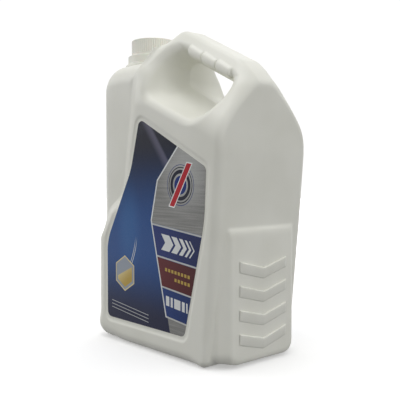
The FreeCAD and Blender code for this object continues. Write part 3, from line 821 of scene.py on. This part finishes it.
def print_sign(s):
    """A six-sided sign with a gold rim, half filled with gold."""
    sides = s.largest(*[s.math("ABSOLUTE", s.line(*SIGN, degrees)) for degrees in (30.0, 90.0, 150.0)])
    gold = s.blend(s.ramp(s.line(*SIGN, 35.0), -10.0, 10.0), GOLD, PALE_GOLD)
    fill_top = s.line(SIGN[0], SIGN[1] + 2.0, 24.0)
    whole, face, inside = [s.ramp(sides, width, width + 0.3, 1.0, 0.0)
                           for width in (SIGN_WIDTH, SIGN_RIM, SIGN_FILL)]
    s.paint(whole, PALE_GOLD)
    s.paint(face, SLATE)
    s.paint(s.both(inside, s.ramp(fill_top, -0.2, 0.2, 1.0, 0.0)), gold)


def label_print():
    """Printed film: slanted bands of colour, rings, arrow heads, dots, blocks and a six-sided sign."""
    s = Print("label_film")
    print_field(s)
    right, silver = print_bands(s)
    print_rings(s)
    print_motifs(s)
    print_rules(s, right)
    print_sign(s)
    wave = s.noise(s.where, 0.035, 2.0)
    fine = s.noise(s.where, 3.0, 2.0)
    s.set(Base_Color=s.colour, Metallic=s.math("MULTIPLY", silver, 0.2),
          Roughness=s.ramp(fine, 0.3, 0.7, 0.26, 0.36), Normal=s.bump(wave, 0.25, 1.2), IOR=1.5)
    s.surface.inputs["Specular IOR Level"].default_value = 0.15
    return s.material


def oil():
    """Clear amber oil."""
    s = Shader("oil")
    where = s.place()
    tint = s.blend(s.noise(where, 0.01, 1.0), (0.80, 0.50, 0.10), (0.70, 0.40, 0.06))
    s.set(Base_Color=tint, Roughness=0.04, IOR=1.47)
    s.surface.inputs["Transmission Weight"].default_value = 0.85
    return s.material


def wad_foam():
    """Foamed white liner with fine open cells."""
    s = Shader("wad_foam")
    where = s.place()
    cells = s.noise(where, 2.5, 5.0)
    tint = s.blend(cells, (0.80, 0.80, 0.77), (0.92, 0.92, 0.90))
    s.set(Base_Color=tint, Roughness=0.75, Normal=s.bump(cells, 0.5, 0.15))
    return s.material


def seal_foil():
    """Satin aluminium foil with faint wrinkles."""
    s = Shader("seal_foil")
    where = s.place()
    wrinkle = s.noise(where, 0.25, 3.0)
    fine = s.noise(where, 3.0, 2.0)
    tint = s.blend(fine, (0.78, 0.78, 0.80), (0.86, 0.86, 0.88))
    s.set(Base_Color=tint, Metallic=1.0, Roughness=s.ramp(fine, 0.3, 0.7, 0.28, 0.4),
          Normal=s.bump(wrinkle, 0.3, 0.4))
    return s.material


# The bottle
def pad_bar(top):
    """One raised bar of the grip pad: a crisp upper edge and a soft lower one, dipping in the middle."""
    half = PAD_BAR_HALF
    end = np.linspace(-half, -half + PAD_BAR_RUN, 7)
    arm = np.linspace(-half + 4, -1.6, 14)
    places = np.concatenate([end, arm, [-0.8, 0.0]])
    places = np.concatenate([places, -places[:-1][::-1]])
    lift = np.clip((half - np.abs(places)) / PAD_BAR_RUN, 0, 1)
    lift = np.sqrt(1 - (1 - lift) ** 2)
    sunk = PAD_BAR_DIP * (1 - (np.hypot(places / half, 0.03) - 0.03))
    rows = []
    for rise, below in PAD_BAR_SECTION:
        out = PAD_FACE + np.where(rise > 0, rise * lift, rise)
        rows.append(np.stack([out, places, top - sunk + below], 1))
    return sheet_of(rows, closed=False)


def neck_surfaces():
    """Flange, bead, rim and bore of the neck."""
    flange_low, flange_high, flange = 285.9, 288.9, 30.0
    radius, bore, rim = NECK_RADIUS, NECK_BORE, NECK_RIM
    bead, bead_low, bead_high = 21.0, 298.6, 300.1
    runs = [
        [(24.0, SHOULDER - 3), (25.0, SHOULDER - 1), (25.0, flange_low)],
        [(25.0, flange_low), (flange - 0.5, flange_low)]
        + arc(flange - 0.5, flange_low + 0.5, 0.5, -90, 0)
        + arc(flange - 1.0, flange_high - 1.0, 1.0, 0, 90) + [(radius + 0.6, flange_high)],
        [(radius + 0.6, flange_high), (radius, flange_high + 0.6), (radius, bead_low)],
        [(radius, bead_low)] + arc(bead - 0.4, bead_low + 0.4, 0.4, -90, 0)
        + [(bead, bead_high - 0.6), (radius, bead_high)],
        [(radius, bead_high), (radius, rim - 0.5)] + arc(radius - 0.5, rim - 0.5, 0.5, 0, 90)
        + arc(bore + 0.5, rim - 0.5, 0.5, 90, 180) + [(bore, SHOULDER - 2)],
    ]
    return turned(runs, 144)


def thread_surface(radius, start, outward):
    """A helical ridge of trapezoid section that runs out at both ends."""
    steps = int(THREAD_TURNS * 96)
    section = [(-0.2, -0.8), (1.3, -0.4), (1.3, 0.4), (-0.2, 0.8)]
    rows = []
    for k in range(steps + 1):
        turn = 2 * pi * THREAD_TURNS * k / steps
        fade = min(1.0, 8 * k / steps, 8 * (steps - k) / steps)
        row = []
        for depth, high in section:
            r = radius + outward * (depth * fade if depth > 0 else depth)
            height = start + THREAD_PITCH * turn / (2 * pi) + high * outward
            row.append((NECK_X + r * cos(turn), r * sin(turn), height))
        rows.append(row)
    rows = np.array(rows)
    return [sheet_of(rows[:, k:k + 2], closed=False) for k in range(3)]


def grooves(count, depth, low, high):
    """Grip grooves between ribs, from one height to another."""
    def relief(angles, height):
        wave = 0.5 - 0.5 * np.cos(angles * count)
        return depth * wave ** 0.7 * float(ease(height, low, low + 0.5) * ease(height, high, high - 1.2))
    return relief


def cap_surfaces():
    """The screw cap: a ribbed skirt over a smooth lip, an eased crown and a threaded bore."""
    outer, skirt, bore = 23.6, 23.35, CAP_BORE
    lip = CAP_LOW + 2.0
    crown = CAP_HIGH - 1.8
    wall = [(skirt, lip + 0.15), (skirt, lip + 0.7)]
    wall += [(skirt, height) for height in np.linspace(lip + 1.2, CAP_HIGH - 2.6, 6)]
    wall += [(skirt, CAP_HIGH - 2.0), (skirt - 0.05, CAP_HIGH - 1.6)]
    wall += arc(skirt - 1.4, CAP_HIGH - 1.4, 1.4, 8, 90, 7)
    dish = CAP_HIGH - 0.4
    top = [(skirt - 1.4, CAP_HIGH), (skirt - 4.2, CAP_HIGH), (skirt - 4.6, CAP_HIGH - 0.15),
           (skirt - 5.0, CAP_HIGH - 0.35), (8.0, dish), (1.0, dish), (0.0, dish)]
    runs = [
        [(bore, CAP_LOW + 0.3), (bore + 0.3, CAP_LOW), (outer - 0.4, CAP_LOW)]
        + arc(outer - 0.4, CAP_LOW + 0.4, 0.4, -90, 0) + arc(outer - 0.7, lip - 0.7, 0.7, 0, 90)
        + [(skirt - 0.6, lip)],
        [(skirt - 0.6, lip), (skirt, lip + 0.15)],
        wall,
        top,
        [(0.0, crown), (bore, crown)],
        [(bore, crown), (bore, CAP_LOW + 0.3)],
    ]
    relief = grooves(CAP_RIBS, RIB_DEPTH, lip + 0.2, CAP_HIGH - 0.9)
    surfaces = turned(runs[:2], 480) + turned(runs[2:3], 480, relief) + turned(runs[3:], 480)
    return surfaces + thread_surface(bore, CAP_THREAD, -1)


def band_surfaces():
    """The tamper band: a smooth wall on a lower lip, with a web that holds it under the bead."""
    outer, face, low, high = 27.6, 27.15, 289.1, 298.4
    runs = [
        [(25.8, low), (outer - 0.3, low)] + arc(outer - 0.3, low + 0.3, 0.3, -90, 0)
        + arc(outer - 0.6, low + 1.6 - 0.6, 0.6, 0, 80) + [(face, low + 1.75), (face, low + 2.1)],
        [(face, low + 2.1), (face, high - 1.3)] + arc(face - 0.9, high - 0.9, 0.9, 0, 90)
        + [(23.0, high), (20.4, high)],
        [(20.4, high), (19.7, high - 0.7), (19.7, high - 1.8)],
        [(19.7, high - 1.8), (25.8, high - 1.8)],
        [(25.8, high - 1.8), (25.8, low)],
    ]
    return turned(runs, 192)


def add_label(facing, node, material):
    """One film: its face, and a thin edge all round; facing is -1 for the front and 1 for the back."""
    outline = rounded_polygon(LABEL, LABEL_ARC_STEP)
    outer = facing * (LABEL_FACE + LABEL_FILM)
    inner = facing * LABEL_FACE
    points = [(u, outer, v) for u, v in outline] + [(u, inner, v) for u, v in outline]
    count = len(outline)
    polygons = [list(range(count))]
    for k in range(count):
        following = (k + 1) % count
        polygons.append([k, following, following + count, k + count])
    if facing > 0:
        polygons = [polygon[::-1] for polygon in polygons]
    mesh = bpy.data.meshes.new(node + "_film")
    mesh.from_pydata([tuple(c * MM for c in point) for point in points], [], polygons)
    mesh.update()
    mesh.materials.append(material)
    piece = bpy.data.objects.new(node + "_film", mesh)
    bpy.context.scene.collection.objects.link(piece)
    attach(piece, "bottle")
    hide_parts(node)


film = label_print()
add_label(-1, "front_label", film)
add_label(1, "back_label", film)

shell = [surface_of(body_field, GRID_STEP)] + neck_surfaces()
shell += thread_surface(NECK_RADIUS, NECK_THREAD, 1)
shell += [pad_bar(PAD_BAR_TOP - PAD_BAR_STEP * index) for index in range(PAD_BARS)]
add_mesh("bottle_shell", shell, blown_plastic(), "bottle", "bottle")
add_mesh("ribbed_cap", cap_surfaces(), moulded_plastic("cap_plastic"), "cap", "cap")
band_plastic = moulded_plastic("band_plastic")
add_mesh("ring_band", band_surfaces(), band_plastic, "bottle", "tamper_band")
add_mesh("oil_volume", [surface_of(oil_field, OIL_STEP)], oil(), "bottle", "oil_fill")

for node, material in (("cap_liner", wad_foam()), ("foil_seal", seal_foil())):
    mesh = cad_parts[node].data
    mesh.materials.clear()
    mesh.materials.append(material)

# Camera, fitted to the photograph
CAMERA_PLACE = (492.2, -433.2, 171.8)
CAMERA_PITCH = radians(2.28)
CAMERA_HEADING = radians(48.13)
SENSOR = 36.0
FOCAL_PIXELS = 644.0
FRAME_PIXELS = 400.0
forward = Vector((
    -sin(CAMERA_HEADING) * cos(CAMERA_PITCH),
    cos(CAMERA_HEADING) * cos(CAMERA_PITCH),
    -sin(CAMERA_PITCH),
))
lens = bpy.data.cameras.new("camera")
lens.sensor_width = SENSOR
lens.lens = SENSOR * FOCAL_PIXELS / FRAME_PIXELS
camera = bpy.data.objects.new("camera", lens)
bpy.context.scene.collection.objects.link(camera)
camera.location = Vector(CAMERA_PLACE) * MM
camera.rotation_mode = "QUATERNION"
camera.rotation_quaternion = forward.to_track_quat("-Z", "Y")
bpy.context.scene.camera = camera

# Floor, a pale disc, in metres
FLOOR_RADIUS = 4.0
FLOOR_HEIGHT = -0.0002
turns = np.linspace(0, 2 * pi, 64, endpoint=False)
rim = [(FLOOR_RADIUS * cos(t), FLOOR_RADIUS * sin(t), FLOOR_HEIGHT) for t in turns]
floor_mesh = bpy.data.meshes.new("floor")
floor_mesh.from_pydata(rim, [], [list(range(len(rim)))])
floor = bpy.data.objects.new("floor", floor_mesh)
bpy.context.scene.collection.objects.link(floor)
floor.visible_diffuse = False
ground = Shader("floor")
x, y, _ = ground.axes(ground.place())
square = ground.math("ADD", ground.math("MULTIPLY", x, x), ground.math("MULTIPLY", y, y))
glow = ground.ramp(ground.math("SQRT", square), 300.0, 900.0, 0.3, 1.0)
ground.set(Base_Color=(0.8, 0.8, 0.8, 1), Roughness=0.9, Emission_Strength=glow)
ground.surface.inputs["Emission Color"].default_value = (1, 1, 1, 1)
floor_mesh.materials.append(ground.material)

# Light
SKY_LOW = 0.10
SKY_HIGH = 0.75
BACKDROP = 1.05
LAMP_DISTANCE = 1.5
LAMP_SIZE = 0.8
LAMP_AIM = Vector((0, 0, 0.16))
world = bpy.data.worlds.new("studio")
bpy.context.scene.world = world
world.use_nodes = True
tree = world.node_tree
direction = tree.nodes.new("ShaderNodeTexCoord").outputs["Generated"]


def sky_part(axis, start, end, first, last):
    """Strength from first to last as the direction turns towards an axis."""
    towards = tree.nodes.new("ShaderNodeVectorMath")
    towards.operation = "DOT_PRODUCT"
    tree.links.new(direction, towards.inputs[0])
    towards.inputs[1].default_value = axis
    part = tree.nodes.new("ShaderNodeMapRange")
    part.interpolation_type = "SMOOTHSTEP"
    tree.links.new(towards.outputs["Value"], part.inputs["Value"])
    for name, number in (("From Min", start), ("From Max", end), ("To Min", first), ("To Max", last)):
        part.inputs[name].default_value = number
    return part


backdrop = sky_part(forward, 0.55, 0.85, 0.0, BACKDROP)
dome = sky_part((0, 0, 1), -0.3, 0.3, SKY_LOW, SKY_HIGH)
brighter = tree.nodes.new("ShaderNodeMath")
brighter.operation = "MAXIMUM"
tree.links.new(backdrop.outputs[0], brighter.inputs[0])
tree.links.new(dome.outputs[0], brighter.inputs[1])
tree.links.new(brighter.outputs[0], tree.nodes["Background"].inputs["Strength"])
tree.nodes["Background"].inputs["Color"].default_value = (1, 1, 1, 1)


def area_light(name, azimuth, elevation, energy):
    """A soft light that looks at the bottle; azimuth 0 is the -Y side and 90 the +X side."""
    a, e = radians(azimuth), radians(elevation)
    away = Vector((sin(a) * cos(e), -cos(a) * cos(e), sin(e)))
    light = bpy.data.lights.new(name, "AREA")
    light.shape = "DISK"
    light.size = LAMP_SIZE
    light.energy = energy
    lamp = bpy.data.objects.new(name, light)
    bpy.context.scene.collection.objects.link(lamp)
    lamp.location = LAMP_AIM + away * LAMP_DISTANCE
    lamp.rotation_mode = "QUATERNION"
    lamp.rotation_quaternion = (-away).to_track_quat("-Z", "Y")


area_light("top_light", 0, 85, 4.9)
area_light("left_light", -60, 20, 3.2)
area_light("pad_light", 90, 15, 2.0)
area_light("far_light", 150, 40, 1.0)
area_light("rear_light", 200, 50, 0.6)
bpy.context.scene.view_settings.view_transform = "Standard"
